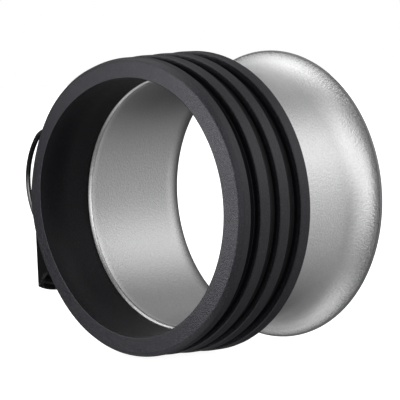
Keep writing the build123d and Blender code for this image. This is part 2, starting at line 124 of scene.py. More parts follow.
def fillet_poly(corners, seg=6, keep=0.22):
    """Closed outline from (x, y, corner radius).

    Each round has seg steps, and straight runs get a holding point at keep from it.
    """
    out = []
    for i, (x, y, radius) in enumerate(corners):
        if radius <= 0:
            out.append((x, y))
            continue
        before, after = corners[i - 1], corners[(i + 1) % len(corners)]
        corner = Vector((x, y))
        back = Vector((before[0] - x, before[1] - y))
        ahead = Vector((after[0] - x, after[1] - y))
        back_len, ahead_len = back.length, ahead.length
        back.normalize()
        ahead.normalize()
        half = math.acos(max(-1, min(1, back.dot(ahead)))) / 2
        cut = radius / math.tan(half)
        start = corner + back * cut
        end = corner + ahead * cut
        centre = corner + (back + ahead).normalized() * (radius / math.sin(half))
        if back_len > cut + 3 * keep:
            out.append(tuple(start + back * keep))
        a0 = math.atan2(start.y - centre.y, start.x - centre.x)
        a1 = math.atan2(end.y - centre.y, end.x - centre.x)
        while a1 - a0 > math.pi:
            a1 -= 2 * math.pi
        while a1 - a0 < -math.pi:
            a1 += 2 * math.pi
        out += arc(centre, radius, a0, a1, seg)
        if ahead_len > cut + 3 * keep:
            out.append(tuple(end + ahead * keep))
    return out


def densify(poly, step):
    """Splits the sides of a closed outline into pieces no longer than step."""
    out = []
    for i, a in enumerate(poly):
        b = poly[(i + 1) % len(poly)]
        pieces = max(1, int(math.ceil(math.hypot(b[0] - a[0], b[1] - a[1]) / step)))
        for k in range(pieces):
            out.append((a[0] + (b[0] - a[0]) * k / pieces, a[1] + (b[1] - a[1]) * k / pieces))
    return out


def revolve(outline, seg, axis=(0.0, 0.0), warp=None):
    """Revolves a closed (radius, y) outline about the Y direction through (x, z) = axis."""
    verts, faces = [], []
    count = len(outline)
    for i in range(seg):
        t = 2 * math.pi * i / seg
        for r, y in outline:
            x, z = r * math.cos(t), r * math.sin(t)
            if warp:
                x, y, z = warp(x, y, z)
            verts.append((x + axis[0], y, z + axis[1]))
    for i in range(seg):
        faces += bridge(i * count, (i + 1) % seg * count, count)
    return verts, faces


def turned_pin(outline, seg, foot, direction):
    """Solid of revolution; outline is (radius, height), from the axis back to the axis."""
    along = Vector(direction).normalized()
    u = along.orthogonal().normalized()
    v = along.cross(u)
    foot = Vector(foot)
    wall = outline[1:-1]
    count = len(wall)
    verts, faces = [], []
    for i in range(seg):
        t = 2 * math.pi * i / seg
        outward = u * math.cos(t) + v * math.sin(t)
        verts += [tuple(foot + outward * r + along * h) for r, h in wall]
    bottom, top = len(verts), len(verts) + 1
    verts += [tuple(foot + along * outline[0][1]), tuple(foot + along * outline[-1][1])]
    for i in range(seg):
        a, b = i * count, (i + 1) % seg * count
        faces += [(bottom, b, a), (top, a + count - 1, b + count - 1)]
        faces += bridge(a, b, count, closed=False)
    return verts, faces


def around(deg, r, y):
    """Point at an angle from -X towards +Z."""
    a = math.radians(deg)
    return (-r * math.cos(a), y, r * math.sin(a))


def strap(r0, r1, y_mid, width, corner, start, end, step, end_round=0.0):
    """Flat strap bent round the axis between two angles in degrees, from radius r0 to r1.

    corner rounds its section and end_round its ends, seen from outside.
    """
    lo, hi = y_mid - width / 2, y_mid + width / 2
    section = fillet_poly([(r0, lo, corner), (r1, lo, corner), (r1, hi, corner), (r0, hi, corner)],
                          seg=3, keep=0.1)
    steps = max(2, int(math.ceil(abs(end - start) / step)))
    angles = [start + (end - start) * i / steps for i in range(steps + 1)]
    rows = [(a, 0.0) for a in angles]      # angle, inset of each long edge
    if end_round:
        def deg(length):
            return math.degrees(length / section[0][0])

        turns = [q / 8 * math.pi / 2 for q in range(9)]
        corners = [(end_round * (1 - math.cos(t)), end_round * (1 - math.sin(t))) for t in turns]
        rows = [row for row in rows if start + deg(end_round) < row[0] < end - deg(end_round)]
        rows = [(start + deg(s), inset) for s, inset in corners] + rows
        rows += [(end - deg(s), inset) for s, inset in reversed(corners)]
    half = width / 2
    verts, faces = [], []
    for a, inset in rows:
        scale = (half - inset) / half
        verts += [around(a, r, y_mid + (y - y_mid) * scale) for r, y in section]
    count = len(section)
    last = (len(rows) - 1) * count
    for i in range(len(rows) - 1):
        faces += bridge(i * count, (i + 1) * count, count)
    faces.append(tuple(range(count)))
    faces.append(tuple(last + k for k in reversed(range(count))))
    return verts, faces


def sweep_wire(path, radius, seg, tip):
    """Round wire along a list of points; tip is the edge radius of its two ends."""
    points = [Vector(p) for p in path]
    last = len(points) - 1
    tangents = [(points[min(last, i + 1)] - points[max(0, i - 1)]).normalized()
                for i in range(last + 1)]
    side = tangents[0].orthogonal().normalized()
    verts, faces = [], []

    def ring(centre, tangent, r):
        other = tangent.cross(side)
        for k in range(seg):
            a = 2 * math.pi * k / seg
            verts.append(tuple(centre + (side * math.cos(a) + other * math.sin(a)) * r))

    turns = [q / 4 * math.pi / 2 for q in range(5)]
    for t in turns:
        ring(points[0] + tangents[0] * tip * (1 - math.cos(t)), tangents[0],
             radius - tip + tip * math.sin(t))
    for i in range(1, last + 1):
        # turn the ring's side vector with the wire, so it doesn't twist
        axis = tangents[i - 1].cross(tangents[i])
        if axis.length > 1e-9:
            angle = tangents[i - 1].angle(tangents[i])
            side = Matrix.Rotation(angle, 3, axis.normalized()) @ side
        if i < last:
            ring(points[i], tangents[i], radius)
    for t in reversed(turns):
        ring(points[-1] - tangents[-1] * tip * (1 - math.cos(t)), tangents[-1],
             radius - tip + tip * math.sin(t))
    end = len(verts) - seg
    for a in range(0, end, seg):
        b = a + seg
        for k in range(seg):
            nxt = (k + 1) % seg
            faces.append((a + k, a + nxt, b + nxt, b + k))
    faces.append(tuple(reversed(range(seg))))
    faces.append(tuple(end + k for k in range(seg)))
    return verts, faces


def inside(p, loop):
    """Whether a flat point lies inside a closed loop."""
    odd = False
    for i, b in enumerate(loop):
        a = loop[i - 1]
        if ((a[1] > p[1]) != (b[1] > p[1])
                and p[0] < (b[0] - a[0]) * (p[1] - a[1]) / (b[1] - a[1]) + a[0]):
            odd = not odd
    return odd


def near(p, loop, reach):
    return any((q[0] - p[0]) ** 2 + (q[1] - p[1]) ** 2 < reach * reach for q in loop)


def pressed_sheet(outline, holes, fold, thickness, step, thinning, creases):
    """Meshes a flat pattern with holes, folds it and gives it its thickness.

    fold(u, v) gives a point on the outer face and its outward normal. thinning(u, v) is how
    far the inner face is pressed in, and creases are the u values of the grid lines in bends.
    """
    loops = [densify(outline, step)] + [densify(hole, step * 0.6) for hole in holes]

    def in_sheet(p):
        return inside(p, loops[0]) and not any(inside(p, hole) for hole in loops[1:])

    points, edges = [], []
    for loop in loops:
        base = len(points)
        points += [Vector(p) for p in loop]
        edges += [(base + i, base + (i + 1) % len(loop)) for i in range(len(loop))]
    u_lo, u_hi = min(p[0] for p in outline), max(p[0] for p in outline)
    v_lo, v_hi = min(p[1] for p in outline), max(p[1] for p in outline)
    grid_u = list(creases)
    u = u_lo
    while u < u_hi:
        if all(abs(u - c) > step * 0.45 for c in creases):
            grid_u.append(u)
        u += step
    rows = int((v_hi - v_lo) / step)
    for j in range(1, rows + 1):
        v = v_lo + (v_hi - v_lo) * j / (rows + 1)
        for u in grid_u:
            p = (u, v)
            if in_sheet(p) and not any(near(p, loop, step * 0.5) for loop in loops):
                points.append(Vector(p))

    result = geometry.delaunay_2d_cdt(points, edges, [], 0, 1e-5)
    flat = result[0]
    kept = []
    for tri in result[2]:
        a, b, c = (flat[i] for i in tri)
        if in_sheet(((a[0] + b[0] + c[0]) / 3, (a[1] + b[1] + c[1]) / 3)):
            kept.append(tuple(tri))

    outer, inner = [], []
    for p in flat:
        point, normal = (Vector(q) for q in fold(p[0], p[1]))
        outer.append(tuple(point))
        inner.append(tuple(point - normal * (thickness - thinning(p[0], p[1]))))
    n = len(flat)
    faces = kept + [tuple(n + i for i in reversed(tri)) for tri in kept]
    directed = dict.fromkeys((tri[i], tri[(i + 1) % 3]) for tri in kept for i in range(3))
    faces += [(b, a, n + a, n + b) for a, b in directed if (b, a) not in directed]
    return outer + inner, faces


def bevel_edges(mesh, offset, over, sharp):
    """Bevels the edges that turn by more than over degrees, then shades the mesh again."""
    bm = bmesh.new()
    bm.from_mesh(mesh)
    edges = [e for e in bm.edges
             if len(e.link_faces) == 2 and e.calc_face_angle(0) > math.radians(over)]
    bmesh.ops.bevel(bm, geom=edges, offset=offset * MM, segments=2, profile=0.6,
                    affect="EDGES", clamp_overlap=True)
    bm.to_mesh(mesh)
    bm.free()
    smooth_shade(mesh, sharp)


# ---------------------------------------------------------------------------
# shader helpers
# ---------------------------------------------------------------------------
class Graph:
    """Empty node tree of a material or world, with short ways to add nodes."""

    def __init__(self, owner):
        owner.use_nodes = True
        self.tree = owner.node_tree
        self.tree.nodes.clear()

    def node(self, kind, inputs=None, **settings):
        made = self.tree.nodes.new("ShaderNode" + kind)
        for key, value in settings.items():
            setattr(made, key, value)
        for key, value in (inputs or {}).items():
            self.feed(made.inputs[key], value)
        return made

    def feed(self, socket, value):
        """Links a socket, or sets a number, vector or (r, g, b) colour."""
        if isinstance(value, bpy.types.NodeSocket):
            self.tree.links.new(value, socket)
        elif socket.type == "RGBA":
            socket.default_value = (*value, 1.0)
        else:
            socket.default_value = value

    def math(self, operation, *values):
        return self.node("Math", dict(enumerate(values)), operation=operation).outputs[0]

    def times(self, value, by):
        return self.math("MULTIPLY", value, by)

    def add(self, value, plus):
        return self.math("ADD", value, plus)


class Surface(Graph):
    """Material with a Principled shader. Texture lengths are in metres."""

    def __init__(self, name):
        self.mat = bpy.data.materials.new(name)
        super().__init__(self.mat)
        output = self.node("OutputMaterial")
        self.bsdf = self.node("BsdfPrincipled")
        self.feed(output.inputs[0], self.bsdf.outputs[0])
        self.coord = self.node("TexCoord")

    def noise(self, scale, detail=3.0, rough=0.5, vector=None):
        return self.node("TexNoise", {
            "Scale": scale, "Detail": detail, "Roughness": rough,
            "Vector": vector or self.coord.outputs["Object"]}).outputs["Fac"]

    def remap(self, value, over, to=(0.0, 1.0)):
        """Clamped linear change from the range over to the range to."""
        return self.node("MapRange", {
            "From Min": over[0], "From Max": over[1], "To Min": to[0], "To Max": to[1],
            "Value": value}, clamp=True).outputs["Result"]

    def mix(self, colour, to, share):
        return self.node("Mix", {0: share, 6: colour, 7: to}, data_type="RGBA").outputs[2]

    def bump(self, height, strength, distance, normal=None):
        inputs = {"Strength": strength, "Distance": distance, "Height": height}
        if normal is not None:
            inputs["Normal"] = normal
        return self.node("Bump", inputs).outputs["Normal"]

    def position(self, output="Object"):
        return self.node("SeparateXYZ", {0: self.coord.outputs[output]}).outputs

    def radial(self):
        """Distance from the axis, y along it, and how much the surface faces outwards."""
        x, y, z = self.position()
        normal = self.position("Normal")
        r = self.math("SQRT", self.add(self.times(x, by=x), plus=self.times(z, by=z)))
        dot = self.add(self.times(normal[0], by=x), plus=self.times(normal[2], by=z))
        return r, y, self.math("DIVIDE", dot, r)

    def set(self, **values):
        """Sets the Principled inputs and returns the material."""
        for key, value in values.items():
            self.feed(self.bsdf.inputs[key.replace("_", " ")], value)
        return self.mat


# ---------------------------------------------------------------------------
# materials
# ---------------------------------------------------------------------------
def make_aluminium():
    """Satin metal, with painted shade darkening the flare's rim, where it is also more pitted, and
    painted shade inside the bore.
    """
    m = Surface("satin_aluminium")
    grain = m.noise(scale=2600.0, detail=2.0, rough=0.6)
    coarse = m.noise(scale=1250.0, detail=1.0, rough=0.5)
    pits = m.noise(scale=1900.0, detail=3.0, rough=0.75)
    cloud = m.noise(scale=38.0, detail=3.0, rough=0.5)
    r, y, facing = m.radial()
    rim = m.remap(r, over=(0.0538, 0.0572))
    cut = m.remap(r, over=(0.0572, 0.0576))        # the outermost edge of the sheet
    outside = m.remap(facing, over=(-0.1, 0.1))

    rough = m.add(m.remap(grain, over=(0.3, 0.7), to=(0.28, 0.37)),
                  plus=m.remap(cloud, over=(0.3, 0.7), to=(-0.02, 0.03)))
    rough = m.add(rough, plus=m.times(cut, by=0.2))

    tone = m.mix((0.88, 0.88, 0.884), to=(0.92, 0.92, 0.924),
                 share=m.remap(cloud, over=(0.3, 0.7)))
    tone = m.mix(tone, to=(0.76, 0.76, 0.77),
                 share=m.remap(coarse, over=(0.35, 0.65), to=(0.0, 0.35)))
    # pits, laid on more thickly towards the rim: partly real pitting, partly painted shade
    pits_and_rim_shade = m.add(m.times(rim, by=0.80), plus=0.20)
    tone = m.mix(tone, to=(0.34, 0.34, 0.345),
                 share=m.times(m.remap(pits, over=(0.50, 0.66)), by=pits_and_rim_shade))
    # painted shade: a dark band towards the flare's rim, standing in for a dark reflection
    tone = m.mix(tone, to=(0.33, 0.33, 0.33), share=m.times(rim, by=0.40))
    # painted shade: the sheet's outermost edge is darkened most
    tone = m.mix(tone, to=(0.28, 0.28, 0.28), share=cut)
    # painted shade: the inner wall past the lip is darkened
    bore = m.times(m.math("SUBTRACT", 1.0, outside), by=m.remap(y, over=(0.0262, 0.0285)))
    tone = m.mix(tone, to=(0.30, 0.30, 0.305), share=m.times(bore, by=0.37))

    # the outer face is rougher to the touch, most of all at the rim
    relief = m.add(m.times(outside, by=0.00006),
                   plus=m.times(m.times(rim, by=outside), by=0.00007))
    normal = m.bump(coarse, strength=0.75, distance=m.add(relief, plus=0.00010))
    grain_depth = m.add(m.times(relief, by=1.0), plus=0.00007)     # by: the grain's share
    normal = m.bump(grain, strength=0.8, distance=grain_depth, normal=normal)
    return m.set(Base_Color=tone, Metallic=1.0, Roughness=rough, Normal=normal)


def make_rubber():
    """Speckled black rubber, with painted shade in the bore and the grooves."""
    m = Surface("black_rubber")
    speck = m.noise(scale=1900.0, detail=2.0, rough=0.65)
    fine = m.noise(scale=4200.0, detail=1.0, rough=0.5)
    cloud = m.noise(scale=30.0, detail=3.0, rough=0.55)
    base = m.mix((0.0090, 0.0086, 0.0119), to=(0.0124, 0.0118, 0.0157),
                 share=m.remap(cloud, over=(0.3, 0.7)))
    base = m.mix(base, to=(0.066, 0.064, 0.076),
                 share=m.remap(speck, over=(0.52, 0.72), to=(0.0, 0.6)))
    rough = m.add(m.remap(speck, over=(0.3, 0.7), to=(0.34, 0.50)),
                  plus=m.remap(cloud, over=(0.3, 0.7), to=(-0.02, 0.03)))
    normal = m.bump(speck, strength=0.95, distance=0.00015)
    normal = m.bump(fine, strength=0.45, distance=0.00003, normal=normal)
    # painted shade: the bore wall and the grooves are darkened and get less specular
    r, y, facing = m.radial()
    bore = m.remap(facing, over=(-0.9, -0.35), to=(1.0, 0.0))
    between_ends = m.times(m.remap(y, over=(0.0061, 0.0068)),
                           by=m.remap(y, over=(0.0378, 0.0384), to=(1.0, 0.0)))
    groove = m.times(m.remap(r, over=(0.0566, 0.0576), to=(1.0, 0.0)), by=between_ends)
    recess_shade = m.math("MAXIMUM", bore, groove)
    # painted shade in the bore and the grooves
    base = m.mix(base, to=(0.0040, 0.0038, 0.0052), share=m.times(recess_shade, by=0.85))
    return m.set(Base_Color=base, Metallic=0.0, Roughness=rough, Normal=normal,
                 Specular_IOR_Level=m.remap(recess_shade, over=(0.0, 1.0), to=(0.52, 0.17)),
                 Specular_Tint=(0.95, 0.93, 1.0))


def make_black_paint(name, base, rough, wear):
    """Black coating worn to grey metal along its convex edges; rough is (least, most)."""
    m = Surface(name)
    peel = m.noise(scale=900.0, detail=2.0, rough=0.5)
    dust = m.noise(scale=2200.0, detail=2.0, rough=0.6)
    cloud = m.noise(scale=120.0, detail=3.0, rough=0.6)
    cloudy = tuple(c * 1.7 for c in base)
    colour = m.mix(base, to=cloudy, share=m.remap(cloud, over=(0.35, 0.7), to=(0.0, 0.6)))
    pointiness = m.node("NewGeometry").outputs["Pointiness"]
    chips = m.remap(m.noise(scale=420.0, detail=3.0, rough=0.7), over=(0.42, 0.62),
                    to=(0.0, wear))
    bare = m.times(m.remap(pointiness, over=(0.535, 0.60)), by=chips)
    colour = m.mix(colour, to=(0.22, 0.22, 0.225), share=bare)
    roughness = m.add(m.remap(peel, over=(0.3, 0.7), to=rough),
                      plus=m.remap(dust, over=(0.5, 0.75), to=(0.0, 0.06)))
    normal = m.bump(peel, strength=0.35, distance=0.00006)
    normal = m.bump(dust, strength=0.2, distance=0.00002, normal=normal)
    return m.set(Base_Color=colour, Roughness=roughness, Normal=normal,
                 Metallic=m.times(bare, by=0.8), Specular_IOR_Level=0.33)


def make_zinc():
    """Bright steel with a grain drawn out along Y."""
    m = Surface("zinc_steel")
    drawn = m.node("Mapping", {"Scale": (1.0, 0.08, 1.0), "Vector": m.coord.outputs["Object"]})
    fine = m.noise(scale=1800.0, detail=3.0, rough=0.6, vector=drawn.outputs[0])
    cloud = m.noise(scale=150.0, detail=3.0, rough=0.6)
    base = (0.62, 0.62, 0.64)
    colour = m.mix(base, to=tuple(c * 0.86 for c in base),
                   share=m.remap(cloud, over=(0.35, 0.7)))
    rough = m.add(m.remap(fine, over=(0.3, 0.7), to=(0.24, 0.36)),
                  plus=m.remap(cloud, over=(0.5, 0.75), to=(0.0, 0.05)))
    return m.set(Base_Color=colour, Metallic=1.0, Roughness=rough,
                 Normal=m.bump(fine, strength=0.25, distance=0.00002))


def make_chrome():
    """Bright wire, darkened towards its upper end as a painted dark reflection."""
    m = Surface("chrome_wire")
    fine = m.noise(scale=900.0, detail=3.0, rough=0.6)
    patch = m.noise(scale=260.0, detail=3.0, rough=0.6)
    ragged = m.remap(patch, over=(0.3, 0.7), to=(-0.0015, 0.0015))
    height = m.add(m.position()[2], plus=ragged)
    # painted shade: the wire's upper part is coloured black and made less metallic, standing in
    # for a dark reflection
    painted_dark_reflection = m.remap(height, over=(0.0020, 0.0130))
    colour = m.mix((0.74, 0.74, 0.76), to=(0.62, 0.62, 0.64),
                   share=m.remap(patch, over=(0.35, 0.7)))
    colour = m.mix(colour, to=(0.028, 0.028, 0.030), share=painted_dark_reflection)
    return m.set(Base_Color=colour, Metallic=m.remap(painted_dark_reflection, over=(0.0, 1.0), to=(1.0, 0.25)),
                 Roughness=m.remap(fine, over=(0.3, 0.7), to=(0.07, 0.13)),
                 Normal=m.bump(fine, strength=0.12, distance=0.00002))


# finishes: material and slot name
ALUMINIUM = (make_aluminium(), "satin_aluminium")
RUBBER = (make_rubber(), "black_rubber")
BLACK = (make_black_paint("black_coated_steel", base=(0.008, 0.008, 0.009),
                          rough=(0.34, 0.46), wear=0.5), "black_steel")
LEVER_BLACK = (make_black_paint("lever_black", base=(0.005, 0.005, 0.006),
                                rough=(0.30, 0.42), wear=0.35), "lever_steel")
STEEL = (make_zinc(), "bright_steel")
CHROME = (make_chrome(), "chrome_wire")

# ---------------------------------------------------------------------------
# flared tube
# ---------------------------------------------------------------------------
TUBE_Y0 = MOUTH_LEN + FIT
LIP_ROUND, LIP_CHAMFER = 0.6, 0.15
# the flare is two arcs of the wall's middle line, each up to its slope from the axis
FLARE_Y = 67.67
FLARE_R1, FLARE_SLOPE1 = 16.76, math.radians(45.0)
FLARE_R2, FLARE_SLOPE2 = 6.0, math.radians(76.0)
# arcs easing the bore into the mouth end: radius, slope from, slope to in degrees
MOUTH_ARCS = ((0.35, 0.0, 28.0), (2.3, 28.0, 62.0), (0.35, 62.0, 90.0))


def flare_point(slope, side):
    """Point (r, y) on the flare: side -1 is the outer face, 0 the middle, +1 the inner."""
    first = min(slope, FLARE_SLOPE1)
    r = TUBE_R - TUBE_T / 2 + FLARE_R1 * (1 - math.cos(first))
    y = FLARE_Y + FLARE_R1 * math.sin(first)
    if slope > FLARE_SLOPE1:
        r += FLARE_R2 * (math.cos(FLARE_SLOPE1) - math.cos(slope))
        y += FLARE_R2 * (math.sin(slope) - math.sin(FLARE_SLOPE1))
    offset = side * TUBE_T / 2
    return (r - offset * math.cos(slope), y + offset * math.sin(slope))


def mouth_curve():
    """The bore's eased edge as (r, y) steps from where it leaves the bore."""
    curve = [(0.0, 0.0)]
    for radius, start, end in MOUTH_ARCS:
        base = curve[-1]
        t0 = math.radians(start)
        for k in range(1, 9):
            t = math.radians(start + (end - start) * k / 8)
            curve.append((base[0] + radius * (math.cos(t0) - math.cos(t)),
                          base[1] - radius * (math.sin(t) - math.sin(t0))))
    return curve


def build_tube():
    inner_r = TUBE_R - TUBE_T
    mouth = mouth_curve()
    ease_y = TUBE_Y0 - mouth[-1][1]        # where the bore's eased edge begins
    lip_end = TUBE_Y0 + LIP_LEN
    slopes = [FLARE_SLOPE1 * k / 26 for k in range(27)]
    slopes += [FLARE_SLOPE1 + (FLARE_SLOPE2 - FLARE_SLOPE1) * k / 14 for k in range(1, 15)]

    outline = [(inner_r, y) for y in (FLARE_Y - 1.0, 60, 50, 40, 30, ease_y + 0.4)]
    outline += [(inner_r + r, ease_y + y) for r, y in mouth]
    outline += arc((LIP_R - LIP_ROUND, TUBE_Y0 + LIP_ROUND), LIP_ROUND, -math.pi / 2, 0.0, 6)
    outline += [(LIP_R, lip_end - LIP_CHAMFER), (LIP_R - LIP_CHAMFER, lip_end),
                (TUBE_R + 0.1, lip_end), (TUBE_R, lip_end + 0.1)]
    outline += [(TUBE_R, y) for y in (lip_end + 1, 40, 50, 60, FLARE_Y - 1.0)]
    outline += [flare_point(slope, -1) for slope in slopes]
    outline += arc(flare_point(FLARE_SLOPE2, 0), TUBE_T / 2,
                   -FLARE_SLOPE2, math.pi - FLARE_SLOPE2, 14)[1:-1]
    outline += [flare_point(slope, 1) for slope in reversed(slopes)]

    # neighbouring runs share their end points: keep one of each
    clean = [outline[0]]
    for p in outline[1:]:
        if math.dist(p, clean[-1]) > 1e-4:
            clean.append(p)
    new_mesh("tube_flared", revolve(clean, 360), ALUMINIUM, "flared_tube", sharp=50.0)


# ---------------------------------------------------------------------------
# rubber collar
# ---------------------------------------------------------------------------
FACE_EDGE_R, FACE_EDGE_Y, SHOULDER_Y = 57.0, 1.1, 2.9      # the mouth face and its slope
# ribs: radius, start y, end y (the first one carries the mouth face)
RIBS = ((58.1, 0.0, 6.6), (58.4, 11.5, 17.0), (58.8, 22.0, 27.4), (59.2, 33.1, COLLAR_LEN))
GROOVE_R = (55.1, 55.3, 55.4)
FACE_ROUND, RIB_ROUND, GROOVE_ROUND = 1.5, 0.55, 0.45
# the mouth isn't quite round: degrees from +X towards +Z, bore change, outer edge change
OUT_OF_ROUND = (
    (0, -0.3, 0.0), (30, -0.1, 0.0), (55, 0.65, 0.0), (72, 0.5, 0.0), (90, 0.15, 0.0),
    (108, 0.4, 0.35), (122, 1.0, 1.25), (136, 1.7, 1.65), (150, 2.05, 1.3), (163, 1.8, 0.95),
    (176, 1.1, 0.85), (188, 0.5, 0.1), (200, -0.35, -0.7), (212, -0.9, -1.1),
    (224, -0.9, -0.8), (238, -0.45, -0.3), (252, 0.0, 0.0), (270, 0.3, 0.0),
    (300, 0.15, 0.0), (330, -0.2, 0.0))
SLACK_FROM, SLACK_TO = 1.5, 13.0           # y range over which the rubber gets round again
SAG, SAG_TO = 0.28, 16.0                   # drop at the mouth, and the y where it has gone


def out_of_round(deg, column):
    """Smooth closed curve through a column of the table."""
    def station(k):
        turn, index = divmod(k, len(OUT_OF_ROUND))
        return OUT_OF_ROUND[index][0] + 360 * turn, OUT_OF_ROUND[index][column]

    deg %= 360.0
    i = max(k for k, row in enumerate(OUT_OF_ROUND) if row[0] <= deg)
    (x0, v0), (x1, v1), (x2, v2), (x3, v3) = (station(i + k) for k in (-1, 0, 1, 2))
    slope1 = (v2 - v0) / (x2 - x0) * (x2 - x1)
    slope2 = (v3 - v1) / (x3 - x1) * (x2 - x1)
    u = (deg - x1) / (x2 - x1)
    return ((2 * u ** 3 - 3 * u ** 2 + 1) * v1 + (u ** 3 - 2 * u ** 2 + u) * slope1
            + (-2 * u ** 3 + 3 * u ** 2) * v2 + (u ** 3 - u ** 2) * slope2)


def ease(start, end, value):
    u = max(0.0, min(1.0, (value - start) / (end - start)))
    return u * u * (3 - 2 * u)


def slack_mouth(x, y, z):
    """Pushes the rubber's mouth out of round and lets it sag."""
    fade = 1.0 - ease(SLACK_FROM, SLACK_TO, y)
    if fade > 0.0:
        r = math.hypot(x, z)
        deg = math.degrees(math.atan2(z, x))
        t = max(0.0, min(1.0, (r - BORE_R) / (FACE_EDGE_R - BORE_R)))
        moved = r + ((1 - t) * out_of_round(deg, 1) + t * out_of_round(deg, 2)) * fade
        x, z = x * moved / r, z * moved / r
    return x, y, z - SAG * (1.0 - ease(0.0, SAG_TO, y))


def build_collar():
    corners = [(BORE_R, 0.0, 0.3), (FACE_EDGE_R, FACE_EDGE_Y, FACE_ROUND),
               (RIBS[0][0], SHOULDER_Y, FACE_ROUND)]
    for i, (r, start, end) in enumerate(RIBS):
        if i > 0:
            corners.append((r, start, RIB_ROUND))
        corners.append((r, end, RIB_ROUND))
        if i < len(GROOVE_R):
            corners += [(GROOVE_R[i], end, GROOVE_ROUND),
                        (GROOVE_R[i], RIBS[i + 1][1], GROOVE_ROUND)]
    # the seat for the tube, with a pocket for its lip
    seat_r, pocket_r = TUBE_R + FIT, LIP_R + FIT
    pocket_end = MOUTH_LEN + LIP_LEN + 2 * FIT
    corners += [(seat_r, COLLAR_LEN, 0.5), (seat_r, pocket_end, 0.0),
                (pocket_r, pocket_end, 0.0), (pocket_r, MOUTH_LEN, 0.0),
                (BORE_R, MOUTH_LEN, 0.0)]
    outline = densify(fillet_poly(corners), 2.0)
    return new_mesh("collar_rubber", revolve(outline, 360, warp=slack_mouth), RUBBER,
                    "rubber_collar", sharp=50.0)


# ---------------------------------------------------------------------------
# straps and rivets; angles are degrees from -X towards +Z
# ---------------------------------------------------------------------------
REAR_Y, REAR_W, REAR_R0, REAR_T = 30.15, 3.9, 55.45, 0.6
BUCKLE_DEG, BUCKLE_GAP = -62.0, 0.8        # the rear strap's ends stop short of the buckle
BRIDGE_R0, BRIDGE_R1, BRIDGE_W = 54.9, 55.3, 3.6
FOOT_T = 1.0                               # latch foot riveted onto the clamp strap
RIVET_R, RIVET_HEAD_R = 0.8, 1.5


def build_straps():
    clamp = strap(BAND_R0, BAND_R0 + BAND_T, BAND_Y, BAND_W, corner=0.18,
                  start=26.0, end=369.0, step=1.2, end_round=1.2)
    new_mesh("strap_clamp", clamp, BLACK, "clamp_band")
    gap_bridge = strap(BRIDGE_R0, BRIDGE_R1, BAND_Y, BRIDGE_W, corner=0.1,
                       start=0.6, end=34.4, step=1.0, end_round=1.0)
    new_mesh("strap_bridge", gap_bridge, STEEL, "gap_bridge")
    rear = strap(REAR_R0, REAR_R0 + REAR_T, REAR_Y, REAR_W, corner=0.15,
                 start=BUCKLE_DEG + BUCKLE_GAP, end=BUCKLE_DEG + 360.0 - BUCKLE_GAP, step=1.2)
    new_mesh("strap_rear", rear, BLACK, "retaining_band")


def build_rivets(name, degs, cad_node):
    top = BAND_T + 0.05 + FOOT_T + 0.03    # underside of the head, above the strap's inside
    profile = [(0, 0.05), (RIVET_R - 0.06, 0.05), (RIVET_R, 0.11), (RIVET_R, top),
               (RIVET_HEAD_R - 0.08, top), (RIVET_HEAD_R, top + 0.08), (RIVET_HEAD_R, top + 0.2)]
    for k in range(1, 8):
        t = math.pi / 2 * k / 8
        profile.append((RIVET_HEAD_R * math.cos(t), top + 0.2 + 0.6 * math.sin(t)))
    profile.append((0, top + 0.8))
    pins = [turned_pin(profile, 40, around(deg, BAND_R0, BAND_Y), around(deg, 1.0, 0.0))
            for deg in degs]
    new_mesh(name, join(pins), STEEL, cad_node)


# ---------------------------------------------------------------------------
# wire bail: two arched legs, with ends turned in to the lever and a bar across the top
# ---------------------------------------------------------------------------
ARCH_N, ARCH_Z, ARCH_R = 39.0, 9.3, 28.0   # centre and radius of the legs' arch
EYE_AIM = (61.0, -8.0)                     # (n, z) towards which the arch's lower end lies
BAR_DEG = 47.4                             # the bar's angle on the arch
BAIL_HALF = 11.25                          # from the middle to each leg
EYE_BEND, BAR_BEND, WIRE_R = 1.55, 3.0, 1.0


def arch_point(deg):
    a = math.radians(deg)
    return (ARCH_N + ARCH_R * math.cos(a), ARCH_Z + ARCH_R * math.sin(a))


def arch_tangent(deg):
    a = math.radians(deg)
    return (-math.sin(a), math.cos(a))


LEG_START = (math.degrees(math.atan2(EYE_AIM[1] - ARCH_Z, EYE_AIM[0] - ARCH_N))
             + math.degrees(EYE_BEND / ARCH_R))
LEG_END = BAR_DEG - math.degrees(BAR_BEND / ARCH_R)


def corner_beyond(deg, distance):
    """Point (n, z) straight on from the arch at deg."""
    p, d = arch_point(deg), arch_tangent(deg)
    return (p[0] + distance * d[0], p[1] + distance * d[1])


BAIL_EYE = corner_beyond(LEG_START, -EYE_BEND)
BAIL_BAR = corner_beyond(LEG_END, BAR_BEND)


def latch_point(nz, y):
    return (-nz[0], y, nz[1])


def bend_to_leg(corner, direction, sign, leg_y, radius):
    """Quarter bend from the Y direction into a leg that leaves the corner along direction."""
    out = []
    for k in range(10):
        t = math.pi / 2 * k / 9
        s = sign * radius * (1 - math.cos(t))
        out.append(latch_point((corner[0] + direction[0] * s, corner[1] + direction[1] * s),
                               leg_y + radius * (1 - math.sin(t))))
    return out


def build_bail():
    leg_y = BAND_Y - BAIL_HALF
    path = [latch_point(BAIL_EYE, leg_y + 3.75), latch_point(BAIL_EYE, leg_y + 2.6)]
    path += bend_to_leg(BAIL_EYE, arch_tangent(LEG_START), 1, leg_y, EYE_BEND)
    path += [latch_point(arch_point(LEG_START + (LEG_END - LEG_START) * k / 40), leg_y)
             for k in range(1, 40)]
    path += reversed(bend_to_leg(BAIL_BAR, arch_tangent(LEG_END), -1, leg_y, BAR_BEND))
    path += [latch_point(BAIL_BAR, leg_y + BAR_BEND + 2), latch_point(BAIL_BAR, BAND_Y)]
    path += [(x, 2 * BAND_Y - y, z) for x, y, z in reversed(path[:-1])]
    new_mesh("bail_wire", sweep_wire(path, WIRE_R, seg=32, tip=0.3), CHROME, "wire_bail",
             body="bail", sharp=60.0)


